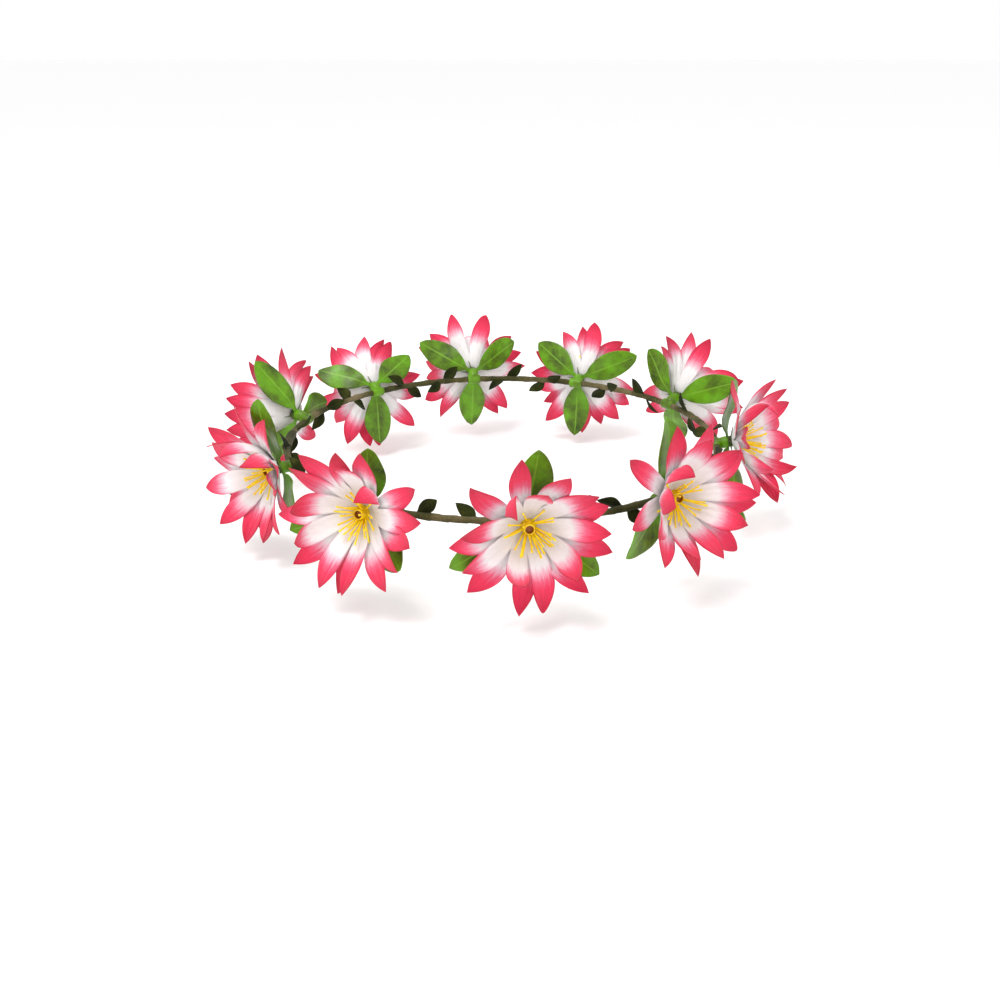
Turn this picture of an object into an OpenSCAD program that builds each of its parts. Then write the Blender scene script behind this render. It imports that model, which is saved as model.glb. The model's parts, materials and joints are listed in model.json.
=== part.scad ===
// Flower crown: a wire hoop wrapped as a green vine, with ten fabric flower heads.
// Each flower spray turns round the vine on its sleeve, and each head spins on its calyx post.
// Origin: centre of the hoop. +Z is up on the wearer's head, -Y is the forehead.

/* [Hoop] */
// Radius of the hoop's centre line
hoop_radius = 90; // [88:1:96]
// Diameter of the steel core wire
wire_d = 1.5; // [1.2:0.1:1.6]
// Diameter of the vine, wrapping included
vine_d = 3; // [2.8:0.1:3.2]
// Azimuth of the seam where the wire ends meet, from the forehead towards the wearer's left
seam_azimuth = 273; // [270:1:276]

/* [Petals] */
// Across the tips of the back layer of petals
outer_span = 57; // [50:1:58]
// Across the tips of the front layer of petals
inner_span = 52; // [46:1:54]
// Petals in each layer
petal_count = 9; // [8:1:10]
// Widest part of a petal
petal_width = 9; // [8:0.2:10]
// Thickness of the petal fabric, along the flower's axis
petal_thickness = 0.5; // [0.4:0.05:0.6]

/* [Stamens] */
// Filaments in the outer ring
outer_filaments = 12; // [8:1:14]
// Filaments in the inner ring
inner_filaments = 7; // [5:1:8]
// Length of a filament
filament_length = 11; // [8:0.5:12]

/* [Leaf sprays] */
// From the flower's axis to the tip of a green leaf
leaf_reach = 33; // [28:1:34]
// Widest part of a green leaf
leaf_width = 13; // [10:0.5:14]
// Length of the sleeve that turns on the vine
sleeve_length = 6; // [4:0.5:6.5]

/* [Trim leaves] */
// Length of a small dark leaf
trim_length = 10.5; // [8:0.5:11]
// Widest part of a small dark leaf
trim_width = 4.2; // [3:0.2:5]

/* [Hidden] */
$fn = 48;
fit = 0.08;                 // running clearance of the sleeve on the vine
slip = 0.05;                // clearance of the head on the post, and of glued pieces

// One row a flower: [azimuth, stem angle round the vine, upward facing angle, sideways facing angle, leaf angle]
flowers = [
    [  5,  25,   2,   3,  85],
    [ 40,  38,  12, -13,  95],
    [ 84,  20,  18, -26,  95],
    [121,  45,   4,  20,  40],
    [156,  30, -15,   8,  34],
    [189,  60,  -6,   0,  30],
    [222,  65, -24, -20,  27],
    [255,  40,  -3, -18,  65],
    [293,   5,   0,  22,  90],
    [330,  10,   8,   5,  80],
];
flower_count = len(flowers);

stem_length = 3.2;          // from the vine's centre to the elbow
neck_length = 4.5;          // from the elbow to the back of the head
neck_r = 2.3;
stem_r = 2;
elbow_r = 2.6;              // stands proud of the stem and the neck
leaf_root_r = 2.8;
sleeve_r = vine_d / 2 + 0.9;
socket_r = 1.05;

post_r = 1;
collar_r = 2.3;
collar_back = -1.6;
collar_front = -0.3;
bead_r = 1.3;
sepal_count = 5;
sepal_length = 4.6;
sepal_r = 0.42;
sepal_lean = 74;            // away from the flower's axis

hub_r = 3.3;                // flat middle of a petal layer
spigot_r = 1.8;
boss_r = 3;
ring_r = 2.1;
petal_gap = 0.1;            // between the two layers at the hub
inner_lift = petal_thickness + petal_gap;
petal_turn = 25;            // the first petal of a layer, from the flower's X axis

// Petal layer profiles: [distance from the axis, height], as shares of the span's half and in millimetres
outer_profile = [[0.115, 0], [0.34, 4.6], [0.66, 9.8], [1.04, 12.6]];
inner_profile = [[0.125, 0], [0.34, 5.4], [0.68, 12.6], [1.04, 17.0]];
leaf_profile = [[0.06, 0], [0.3, 1.2], [0.65, 5], [1.03, 10.4]];
leaf_thickness = 0.5;
leaf_back = -2.6;

trim_thickness = 0.45;
band_length = 2.6;
band_r = vine_d / 2 + 0.45;
band_clear = 16;            // least distance along the vine from a flower to a trim band
// Each sprig of trim: [[angle round the vine, slant towards +X], ...], where 0 is outwards and 90 is up
sprigs = [
    [[100,  58], [258, -60]],
    [[272,  56], [150, -58]],
    [[ 78, -60], [205,  58]],
];

splice_angle = 6.4;
tape_angle = 11;

function two(n) = str(n < 10 ? "0" : "", n);
function each_flower(name) = [for (k = [1:flower_count]) str(name, "_", two(k))];

// ---- Frames ----

// X along the vine, -Y outwards, Z up, at an azimuth on the hoop
module on_vine(azimuth) {
    rotate([0, 0, azimuth]) translate([0, -hoop_radius, 0]) children();
}

// Z along the flower's axis, Y up, with the back of the head at 0
module at_head(k) {
    f = flowers[k];
    on_vine(f[0]) translate([0, -stem_length * cos(f[1]), stem_length * sin(f[1])])
        rotate([0, 0, f[3]]) rotate([90 - f[2], 0, 0]) translate([0, 0, neck_length]) children();
}

// ---- Hoop ----

module arc_tube(outer_r, inner_r, middle, angle) {
    rotate([0, 0, middle - 90 - angle / 2])
        rotate_extrude(angle = angle, $fn = 180) translate([hoop_radius, 0]) difference() {
            circle(r = outer_r);
            if (inner_r > 0) circle(r = inner_r);
        }
}

module hoop_wire() {
    color("silver") arc_tube(wire_d / 2, 0, seam_azimuth + 180, 359);
}

module wire_splice() {
    color("gray") arc_tube(wire_d / 2 + 0.4, wire_d / 2 + slip, seam_azimuth, splice_angle);
}

module vine_wrap() {
    color("darkolivegreen")
        arc_tube(vine_d / 2, wire_d / 2 + slip, seam_azimuth + 180, 360 - splice_angle - 1);
}

module seam_tape() {
    color("darkolivegreen") arc_tube(vine_d / 2 + 0.4, vine_d / 2 + slip, seam_azimuth, tape_angle);
}

// ---- Dark trim leaves ----

// A pointed leaf along +X from the origin, as the overlap of two circles
module lens(length, width) {
    r = (length * length / 4 + width * width / 4) / width;
    intersection() {
        translate([length / 2, width / 2 - r]) circle(r = r);
        translate([length / 2, r - width / 2]) circle(r = r);
    }
}

// A blade that leaves the vine at an angle round it, slanting along it
module trim_leaf(round_vine, slant) {
    rotate([-round_vine, 0, 0]) translate([0, -band_r + 0.2, 0]) rotate([0, 0, slant - 90])
        translate([-0.6, 0, -trim_thickness / 2])
        linear_extrude(trim_thickness) lens(trim_length, trim_width);
}

module sprig(leaves) {
    difference() {
        union() {
            rotate([0, 90, 0]) cylinder(r = band_r, h = band_length, center = true);
            for (leaf = leaves) trim_leaf(leaf[0], leaf[1]);
        }
        rotate([0, 90, 0]) cylinder(r = vine_d / 2 + slip, h = trim_length * 2, center = true);
    }
}

// Azimuths of the two sprigs between flower k and the next one
function gap_start(k) = flowers[k][0];
function gap_end(k) = k + 1 < flower_count ? flowers[k + 1][0] : flowers[0][0] + 360;
sprig_margin = band_clear / hoop_radius * 180 / PI;
function sprig_azimuth(k, i) = i == 0 ? gap_start(k) + sprig_margin : gap_end(k) - sprig_margin;
function clear_of_seam(a) = abs(a - seam_azimuth) > tape_angle / 2 + 1.5;

module trim_leaves(from, to) {
    color("#3b3c13")
        for (k = [from:to], i = [0:1])
            if (clear_of_seam(sprig_azimuth(k, i)))
                on_vine(sprig_azimuth(k, i)) sprig(sprigs[(k + i) % len(sprigs)]);
}

// ---- Leaf spray: sleeve on the vine, elbow, socket and three leaves ----

// A shell of revolution cut to an outline seen along the axis
module cut_shell(profile, reach, thickness, base) {
    intersection() {
        rotate_extrude() polygon(concat(
            [[0, base]],
            [for (p = profile) [p[0] * reach, base + p[1]]],
            [for (i = [len(profile) - 1:-1:0]) [profile[i][0] * reach, base + profile[i][1] + thickness]],
            [[0, base + thickness]]
        ));
        translate([0, 0, base - 1]) linear_extrude(30) children();
    }
}

module leaf_outline(angle) {
    circle(r = leaf_root_r);
    for (i = [0:2]) rotate([0, 0, angle + 120 * i])
        translate([1, 0]) lens(leaf_reach - 1, leaf_width);
}

module leaf_spray(k) {
    f = flowers[k];
    color("#5c9a1c") difference() {
        union() {
            on_vine(f[0]) {
                rotate([0, 90, 0]) cylinder(r = sleeve_r, h = sleeve_length, center = true);
                rotate([90 - f[1], 0, 0]) cylinder(r = stem_r, h = stem_length);
                translate([0, -stem_length * cos(f[1]), stem_length * sin(f[1])]) sphere(r = elbow_r);
            }
            at_head(k) {
                translate([0, 0, -neck_length])
                    cylinder(r = neck_r, h = neck_length + collar_back - slip);
                cut_shell(leaf_profile, leaf_reach, leaf_thickness, leaf_back) leaf_outline(f[4]);
            }
        }
        on_vine(f[0]) rotate([0, 90, 0])
            cylinder(r = vine_d / 2 + fit, h = sleeve_length * 4, center = true);
        at_head(k) translate([0, 0, -neck_length]) cylinder(r = socket_r, h = neck_length);
    }
}

// ---- Calyx: post, collar and pointed sepals ----

module calyx(k) {
    color("#47491c") at_head(k) {
        rotate_extrude() polygon([
            [0, -neck_length + 0.5], [post_r, -neck_length + 0.5], [post_r, collar_back],
            [collar_r, collar_back], [collar_r, collar_front], [post_r, collar_front],
            [post_r, 2.2], [bead_r, 2.5], [bead_r, 2.8], [0.7, 3.3], [0, 3.3],
        ]);
        for (i = [0:sepal_count - 1]) rotate([0, 0, i * 360 / sepal_count])
            translate([1.4, 0, -1.15]) rotate([0, sepal_lean, 0])
            cylinder(r1 = sepal_r, r2 = 0.12, h = sepal_length);
    }
}

// ---- Petals ----

module petal_outline(span) {
    circle(r = span * 0.19);
    for (i = [0:petal_count - 1]) rotate([0, 0, petal_turn + i * 360 / petal_count])
        translate([span * 0.09, 0]) lens(span * 0.41, petal_width);
}

module petal_layer(profile, span, base) {
    difference() {
        cut_shell(profile, span / 2, petal_thickness, base) petal_outline(span);
        translate([0, 0, base - 1]) cylinder(r = spigot_r + slip, h = 4);
    }
}

module petals_outer(k) {
    color("#ef5f80") at_head(k) petal_layer(outer_profile, outer_span, 0);
}

module petals_inner(k) {
    color("#fbe9ee") at_head(k) rotate([0, 0, 180 / petal_count])
        petal_layer(inner_profile, inner_span, inner_lift);
}

// ---- Stamens: spigot, boss with an open ring, and filaments ----

module filament_ring(count, lean, from_r, turn) {
    for (i = [0:count - 1]) rotate([0, 0, turn + i * 360 / count])
        translate([from_r, 0, 2]) rotate([0, lean, 0]) {
            cylinder(r = 0.36, h = filament_length);
            translate([0, 0, filament_length]) sphere(r = 0.5);
        }
}

module stamens(k) {
    boss_back = inner_lift + petal_thickness + slip;
    color("#f0be12") at_head(k) difference() {
        union() {
            rotate_extrude() polygon([
                [0, 0], [spigot_r, 0], [spigot_r, boss_back], [boss_r, boss_back],
                [boss_r - 0.2, 2.2], [ring_r, 3.1], [ring_r, 4.6], [0, 4.6],
            ]);
            filament_ring(outer_filaments, 40, 2.1, 0);
            filament_ring(inner_filaments, 20, 1.6, 15);
        }
        rotate_extrude() polygon([
            [0, -1], [post_r + slip, -1], [post_r + slip, 2.1], [bead_r + 0.15, 2.4],
            [bead_r + 0.15, 3.4], [1.2, 3.4], [1.2, 20], [0, 20],
        ]);
    }
}

// ---- The crown ----

hoop_wire();
wire_splice();
vine_wrap();
seam_tape();
trim_leaves(8, 9);  // trim_leaves_front
trim_leaves(0, 2);  // trim_leaves_left
trim_leaves(3, 5);  // trim_leaves_back
trim_leaves(6, 7);  // trim_leaves_right
for (k = [0:flower_count - 1]) {
    leaf_spray(k);
    calyx(k);
    petals_outer(k);
    petals_inner(k);
    stamens(k);
}
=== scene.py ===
# %% [markdown]
# # A flower crown
#
# The crown is a wire hoop wrapped as a thin vine. Ten fabric flowers ride on it, each with a spray of three
# moulded leaves behind it, and small velvety leaves are wound on between them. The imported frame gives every
# place: this script reads it, and builds what the eye sees round it.

# %% Load the frame
import json
import math
import random

import bpy
import numpy as np
from mathutils import Matrix, Vector

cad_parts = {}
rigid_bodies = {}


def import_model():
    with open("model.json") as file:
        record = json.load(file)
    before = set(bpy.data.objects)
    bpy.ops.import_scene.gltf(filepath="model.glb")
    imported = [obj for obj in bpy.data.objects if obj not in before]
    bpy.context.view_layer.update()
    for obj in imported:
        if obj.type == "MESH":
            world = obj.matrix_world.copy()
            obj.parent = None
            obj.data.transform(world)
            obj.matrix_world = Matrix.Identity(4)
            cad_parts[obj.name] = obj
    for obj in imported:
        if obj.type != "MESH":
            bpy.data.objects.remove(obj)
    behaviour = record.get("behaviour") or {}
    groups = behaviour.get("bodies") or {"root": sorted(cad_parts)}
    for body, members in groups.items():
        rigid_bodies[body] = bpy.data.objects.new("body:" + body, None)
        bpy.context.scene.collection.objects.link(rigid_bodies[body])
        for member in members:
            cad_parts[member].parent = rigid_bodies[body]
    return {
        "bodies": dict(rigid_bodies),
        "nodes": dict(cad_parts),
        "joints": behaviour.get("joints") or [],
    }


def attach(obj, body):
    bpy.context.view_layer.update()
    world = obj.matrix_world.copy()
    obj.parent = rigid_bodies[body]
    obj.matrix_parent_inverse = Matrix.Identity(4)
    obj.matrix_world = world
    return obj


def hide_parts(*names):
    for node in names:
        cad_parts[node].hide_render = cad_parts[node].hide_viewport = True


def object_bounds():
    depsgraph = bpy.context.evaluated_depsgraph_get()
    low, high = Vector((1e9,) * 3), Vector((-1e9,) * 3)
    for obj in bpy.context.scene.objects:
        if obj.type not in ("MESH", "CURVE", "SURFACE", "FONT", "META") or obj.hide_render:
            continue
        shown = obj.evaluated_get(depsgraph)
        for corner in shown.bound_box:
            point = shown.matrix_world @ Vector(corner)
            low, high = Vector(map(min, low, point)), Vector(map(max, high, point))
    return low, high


MM = 0.001
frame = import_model()
cad_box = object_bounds()
joints = {joint["name"]: joint for joint in frame["joints"]}
FLOWERS = [name[len("head_"):] for name in frame["bodies"] if name.startswith("head_")]
HOOP_RADIUS = Vector(joints["spray_01_turn"]["pos_m"]).length
print("flowers:", len(FLOWERS), "hoop radius:", round(HOOP_RADIUS / MM, 1), "mm")

# %% [markdown]
# ## Camera, floor and light
#
# The crown is seen from a little above, so that the far side shows over the near one. It has no cords, so
# the camera is all that has to come first. The floor and the light are plain: a pale sheet, a broad soft lamp
# above, a weaker one low in front, and a bright surround that fills the shadows.

# %% Camera
EYE_DISTANCE = 475 * MM
EYE_ELEVATION = math.radians(19)
bpy.ops.object.select_all(action="DESELECT")
bpy.ops.object.camera_add(
    location=(0, -EYE_DISTANCE * math.cos(EYE_ELEVATION), EYE_DISTANCE * math.sin(EYE_ELEVATION)),
    rotation=(math.radians(90) - EYE_ELEVATION, 0, 0),
)
camera = bpy.context.object
camera.name = "camera"
camera.data.lens = 40.2
camera.data.clip_start = 0.01
camera.data.shift_x = -0.002
camera.data.shift_y = -0.063
bpy.context.scene.camera = camera
print("camera:", round(EYE_DISTANCE / MM), "mm away,", round(math.degrees(EYE_ELEVATION)), "degrees up")

# %% Floor
FLOOR_GAP = 1.5 * MM
FLOOR_SIZE = 60
FLOOR_Z = Vector(cad_box[0]).z - FLOOR_GAP
bpy.ops.mesh.primitive_plane_add(size=FLOOR_SIZE, location=(0, 0, FLOOR_Z))
floor = bpy.context.object
floor.name = "floor"
floor.data.materials.append(bpy.data.materials.new("pale_floor"))
floor.data.materials[0].use_nodes = True
floor_shader = floor.data.materials[0].node_tree.nodes["Principled BSDF"]
floor_shader.inputs["Base Color"].default_value = (0.98, 0.98, 0.98, 1)
floor_shader.inputs["Roughness"].default_value = 0.9
print("floor at", round(FLOOR_Z / MM, 1), "mm")


# %% Lamps and surround
def add_lamp(name, place, size, power):
    """A square area lamp that faces the middle of the crown."""
    bpy.ops.object.light_add(type="AREA", location=place)
    lamp = bpy.context.object
    lamp.name = name
    lamp.rotation_euler = (-Vector(place)).to_track_quat("-Z", "Y").to_euler()
    lamp.data.size = size
    lamp.data.energy = power


add_lamp("soft_box_above", (-0.35, -0.35, 1.1), 0.5, 8.5)
add_lamp("soft_box_front", (0.6, -1.1, 0.5), 0.8, 2.5)
world = bpy.data.worlds.new("surround")
world.use_nodes = True
world.node_tree.nodes["Background"].inputs["Color"].default_value = (1, 1, 1, 1)
world.node_tree.nodes["Background"].inputs["Strength"].default_value = 1.0
bpy.context.scene.world = world
bpy.context.scene.view_settings.view_transform = "Standard"

# %% [markdown]
# ## Helpers for materials
#
# A material here is a small chain of nodes. These helpers add a node, join two sockets and turn the sRGB
# colour that a dyer would read off a swatch into the linear colour that the shader wants.

# %% Material helpers


def swatch(red, green, blue):
    """Linear colour of an sRGB swatch given from 0 to 255."""
    shares = [channel / 255 for channel in (red, green, blue)]
    return tuple(c / 12.92 if c <= 0.04045 else ((c + 0.055) / 1.055) ** 2.4 for c in shares) + (1,)


class Finish:
    """A new material, with short calls for its nodes."""

    def __init__(self, name, roughness, **sockets):
        self.material = bpy.data.materials.new(name)
        self.material.use_nodes = True
        self.nodes = self.material.node_tree.nodes
        self.links = self.material.node_tree.links
        self.shader = self.nodes["Principled BSDF"]
        self.shader.inputs["Roughness"].default_value = roughness
        for socket, value in sockets.items():
            self.shader.inputs[socket.replace("_", " ")].default_value = value

    def add(self, kind, **inputs):
        """A node of this kind, with its input sockets set to numbers or joined to other sockets."""
        node = self.nodes.new("ShaderNode" + kind)
        for socket, value in inputs.items():
            self.feed(node.inputs[socket.replace("_", " ")], value)
        return node

    def feed(self, socket, value):
        if isinstance(value, bpy.types.NodeSocket):
            self.links.new(value, socket)
        else:
            socket.default_value = value

    def maths(self, operation, *values):
        node = self.nodes.new("ShaderNodeMath")
        node.operation = operation
        for place, value in enumerate(values):
            self.feed(node.inputs[place], value)
        return node.outputs[0]

    def ramp(self, amount, stops):
        """Colours along a ramp: stops are (place, colour)."""
        node = self.nodes.new("ShaderNodeValToRGB")
        elements = node.color_ramp.elements
        while len(elements) < len(stops):
            elements.new(0.5)
        for element, (place, colour) in zip(elements, stops):
            element.position = place
            element.color = colour
        self.links.new(amount, node.inputs[0])
        return node.outputs[0]

    def blend(self, mode, amount, first, second):
        node = self.nodes.new("ShaderNodeMix")
        node.data_type = "RGBA"
        node.blend_type = mode
        self.feed(node.inputs[0], amount)
        self.feed(node.inputs[6], first)
        self.feed(node.inputs[7], second)
        return node.outputs[2]

    def bump(self, height, strength, distance):
        node = self.add("Bump", Strength=strength, Distance=distance, Height=height)
        self.links.new(node.outputs[0], self.shader.inputs["Normal"])

    def colour(self, socket):
        self.links.new(socket, self.shader.inputs["Base Color"])

    def object_place(self, scale=1.0):
        """Object coordinates, in metres times scale."""
        place = self.nodes.new("ShaderNodeTexCoord").outputs["Object"]
        return self.add("Mapping", Vector=place, Scale=(scale, scale, scale)).outputs[0]


print("a mid grey swatch is", round(swatch(128, 128, 128)[0], 3), "in linear light")

# %% [markdown]
# ## Helpers for meshes
#
# Every finished piece keeps its object at the origin and its place in its mesh, as the frame's own nodes do.
# These helpers select, join, copy and move meshes with that in mind, and find where a flower sits.

# %% Mesh helpers
def pick_only(*objects):
    """Leaves these objects selected and nothing else, the first one active."""
    bpy.ops.object.select_all(action="DESELECT")
    for each in objects:
        each.select_set(True)
    bpy.context.view_layer.objects.active = objects[0]


def join(pieces, name):
    """The pieces as one object with this name."""
    pick_only(*pieces)
    if len(pieces) > 1:
        bpy.ops.object.join()
    joined = bpy.context.object
    joined.name = name
    joined.data.name = name
    return joined


def finish_with(piece, modifiers):
    """Adds modifiers, each as (type, settings), and applies them in order."""
    pick_only(piece)
    for kind, settings in modifiers:
        modifier = piece.modifiers.new(kind.lower(), kind)
        for key, value in settings.items():
            setattr(modifier, key, value)
        bpy.ops.object.modifier_apply(modifier=modifier.name)


def put(piece, place):
    """Moves the piece's mesh by a matrix, so that its object stays at the origin."""
    piece.data.transform(place)
    if place.determinant() < 0:
        piece.data.flip_normals()
    piece.data.update()


def points_of(piece):
    points = np.empty(len(piece.data.vertices) * 3)
    piece.data.vertices.foreach_get("co", points)
    return points.reshape(-1, 3)


def set_points(piece, points):
    piece.data.vertices.foreach_set("co", np.asarray(points, dtype=np.float32).ravel())
    piece.data.update()


def copy_of(piece, name):
    """Another object with its own mesh."""
    twin = piece.copy()
    twin.data = piece.data.copy()
    twin.name = name
    bpy.context.scene.collection.objects.link(twin)
    return twin


def drop(piece):
    bpy.data.objects.remove(piece)


def basis(x_axis, y_axis, z_axis, origin):
    """The matrix whose columns are these axes and this origin."""
    columns = [Vector(axis).to_4d() for axis in (x_axis, y_axis, z_axis)]
    for column in columns:
        column.w = 0
    return Matrix([*columns, Vector(origin).to_4d()]).transposed()


def flower_place(flower):
    """The flower's own frame: Z along its axis, Y up, the back of the head at the origin."""
    spin = joints[f"head_{flower}_spin"]
    z_axis = Vector(spin["axis"]).normalized()
    x_axis = Vector((0, 0, 1)).cross(z_axis).normalized()
    return basis(x_axis, z_axis.cross(x_axis), z_axis, spin["pos_m"])


def vine_place(flower):
    """X along the vine where the flower rides on it, Y towards the crown's middle, Z up."""
    turn = joints[f"spray_{flower}_turn"]
    x_axis = Vector(turn["axis"]).normalized()
    return basis(x_axis, Vector((0, 0, 1)).cross(x_axis), (0, 0, 1), turn["pos_m"])


def settle(piece, body, slot, *nodes):
    """Hands a finished piece to the frame."""
    if nodes:
        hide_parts(*nodes)
    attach(piece, body)


first_place = flower_place(FLOWERS[0]).translation
print("the first head sits at", [round(c / MM, 1) for c in first_place], "mm")

# %% [markdown]
# ## Petal cloth
#
# The petals are white polyester satin, dip-dyed after cutting. The pink is solid at the tips, stops with a
# soft edge a little past the middle, and creeps back along the threads and the cut edges. Each petal carries
# its own map: its number plus the place across it one way, and from hub to tip the other. Everything is
# driven from that map, so dye and weave follow each petal as it curls.

# %% Petal material
PETAL_MAP = "petal_map"
PETAL_WIDE = 8.8
PETAL_LONG = 31.5
THREAD_PITCH = 0.32
BANDS_PER_UNIT = math.tau / 20


def petal_finish(name, dye_start, hub_painted_shade):
    satin = Finish(name, 0.6, Specular_IOR_Level=0.25, Sheen_Weight=0.12, Sheen_Roughness=0.4)
    cloth_map = satin.nodes.new("ShaderNodeUVMap")
    cloth_map.uv_map = PETAL_MAP
    split = satin.add("SeparateXYZ", Vector=cloth_map.outputs[0])
    across = satin.maths("FRACT", split.outputs[0])
    number = satin.maths("FLOOR", split.outputs[0])
    edge = satin.maths("MULTIPLY", satin.maths("ABSOLUTE", satin.maths("SUBTRACT", across, 0.5)), 2)
    chance = satin.nodes.new("ShaderNodeTexWhiteNoise")
    chance.noise_dimensions = "1D"
    satin.feed(chance.inputs["W"], number)

    stretched = satin.add("Mapping", Vector=cloth_map.outputs[0], Scale=(9, 2.2, 1)).outputs[0]
    threads = satin.add("TexNoise", Vector=stretched, Scale=1.6, Detail=4, Roughness=0.65).outputs[0]
    wobble = satin.maths("MULTIPLY", satin.maths("SUBTRACT", threads, 0.5), 0.22)
    creep = satin.maths("MULTIPLY", satin.maths("POWER", edge, 4), 0.08)
    depth = satin.maths("MULTIPLY", satin.maths("SUBTRACT", chance.outputs["Value"], 0.5), 0.2)
    dye = satin.maths("ADD", satin.maths("ADD", split.outputs[1], wobble), satin.maths("ADD", creep, depth))
    # The first stop is painted shade: the white is darker near the hub, down in the cup.
    dyed = satin.ramp(dye, [
        (0.0, hub_painted_shade), (0.22, swatch(250, 246, 244)), (dye_start, swatch(252, 247, 248)),
        (dye_start + 0.07, swatch(250, 190, 207)), (dye_start + 0.15, swatch(245, 104, 136)),
        (dye_start + 0.24, swatch(242, 60, 96)), (1.0, swatch(222, 38, 74)),
    ])
    patchy = satin.add("TexNoise", Vector=stretched, Scale=7, Detail=5, Roughness=0.7).outputs[0]
    mottled = satin.blend("MULTIPLY", 0.32, dyed, satin.ramp(patchy, [
        (0.3, swatch(216, 208, 211)), (0.55, swatch(255, 255, 255)),
    ]))
    at_edge = satin.maths("GREATER_THAN", edge, 0.93)
    line = satin.maths("MULTIPLY", at_edge, satin.maths("SUBTRACT", dye, 0.45))
    satin.colour(satin.blend("MULTIPLY", line, mottled, swatch(200, 90, 110)))

    def bands(direction, scale):
        wave = satin.add("TexWave", Vector=cloth_map.outputs[0], Scale=scale, Distortion=0.4)
        wave.wave_type = "BANDS"
        wave.bands_direction = direction
        return wave.outputs["Fac"]

    warp = bands("X", BANDS_PER_UNIT * PETAL_WIDE / THREAD_PITCH)
    weft = bands("Y", BANDS_PER_UNIT * PETAL_LONG / THREAD_PITCH)
    weave = satin.maths("MULTIPLY", warp, weft)
    creases = satin.maths("MULTIPLY", threads, 1.5)
    satin.bump(satin.maths("ADD", satin.maths("MULTIPLY", weave, 0.5), creases), 0.8, 0.4 * MM)
    return satin.material


# The last swatch of each layer is painted shade near the hub, darker on the front layer.
back_satin = petal_finish("petal_satin_back", 0.55, swatch(244, 240, 237))
front_satin = petal_finish("petal_satin_front", 0.57, swatch(240, 233, 224))
print("petal finishes:", back_satin.name, front_satin.name)

# %% [markdown]
# ## Petals
#
# A layer of petals is one die-cut piece: a small disc with a hole, cut into nine petals beyond a ring of
# notches. Every petal has the same outline, which swells from the notch and ends in round shoulders and a
# point. Lengths here are in millimetres until a layer is placed on its flower.

# %% The cut of a petal
PETALS = 9
HALF_TURN = math.pi / PETALS
ACROSS = np.linspace(-1, 1, 9)
ROWS = 19
HOLE = 1.95
NOTCH = 8.2
HUB = 3.3
NOTCH_HALF_WIDTH = NOTCH * math.sin(HALF_TURN)


def ease(low, high, value):
    """From 0 at low to 1 at high, with a smooth start and end."""
    share = np.clip((value - low) / (high - low), 0, 1)
    return share * share * (3 - 2 * share)


def half_width(free, widest):
    """Half a petal's width at a share of its free length: it swells, then has round shoulders and a point."""
    swell = NOTCH_HALF_WIDTH + (widest - NOTCH_HALF_WIDTH) * ease(-0.1, 0.62, free)
    shoulder = np.clip((free - 0.5) / 0.5, 0, 1)
    return swell * (1 - shoulder ** 2.1) ** 0.92


print("a petal is", PETAL_WIDE, "mm wide and", round(PETAL_LONG - NOTCH, 1), "mm long beyond the notch")


# %% [markdown]
# ### How a petal has set
#
# A hot iron cups the piece and presses a few lengthwise creases, and handling does the rest: some petals
# fold forward over the stamens, the upper ones most of all, some roll back, and most twist a little. Cloth
# like this could be simulated, but each petal's set is its own. So each one gets a habit by seeded chance,
# and its sheet is worked out row by row from the hub to the tip. Inside the notches its points lie on
# circles, so that neighbouring petals share them, and beyond the notches each petal goes its own way.

# %% The habit of a petal
def petal_habit(chance, front):
    """How one petal has set: pitch and curl in degrees, twist and yaw in radians, half width in mm."""
    habit = {
        "pitch": chance.gauss(0, 9), "curl": chance.uniform(-34, 34), "late": chance.uniform(1.4, 2.8),
        "twist": chance.gauss(0, 0.34), "yaw": chance.gauss(0, 0.09),
        "cup": chance.uniform(0.02, 0.4), "wide": PETAL_WIDE / 2 * chance.uniform(0.9, 1.06),
        "crease": chance.uniform(0.18, 0.5),
    }
    mood = chance.random()
    if front and mood < 0.3:
        habit.update(curl=chance.uniform(55, 115), cup=chance.uniform(0.3, 0.6), late=1.8)
    elif mood > 0.8:
        habit.update(curl=chance.uniform(-72, -45))
    return habit


print("one habit:", {key: round(value, 2) for key, value in petal_habit(random.Random(1), False).items()})

# %% One petal's points
HUB_ROWS = 5
SLOPE_PLACES = (HOLE, HUB, HUB + 1.5, 10, 20, PETAL_LONG)
FINE_STEPS = 240


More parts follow.
